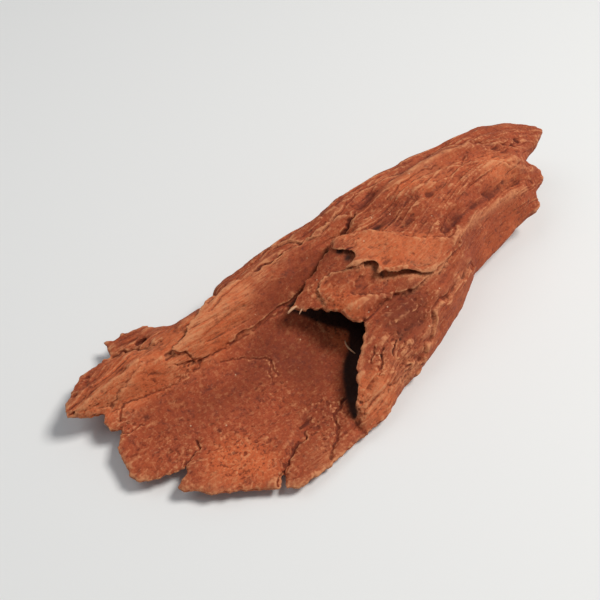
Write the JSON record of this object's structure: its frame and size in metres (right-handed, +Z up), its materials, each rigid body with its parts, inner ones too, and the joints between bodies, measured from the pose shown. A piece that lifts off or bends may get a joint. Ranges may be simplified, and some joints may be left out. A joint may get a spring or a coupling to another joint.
{
  "type": "mangrove root piece",
  "caption": "Weathered, scoop-shaped piece of mangrove root with a fluted butt, a ridge along one side, a ragged thin rim and a torn hood over a small dark hollow.",
  "frame": {"origin": "centre of the bounding box in plan, at the height of the surface that the piece lies on", "axes": "+X along the grain from the thin scoop to the thick butt, +Y towards the side with the ridge, +Z up"},
  "size_m": [0.3107, 0.1209, 0.0546],
  "materials": {
    "weathered_wood": "matte, weathered and fibrous, reddish brown"
  },
  "bodies": {
    "root": {"mangrove_root": "weathered_wood"}
  },
  "joints": []
}
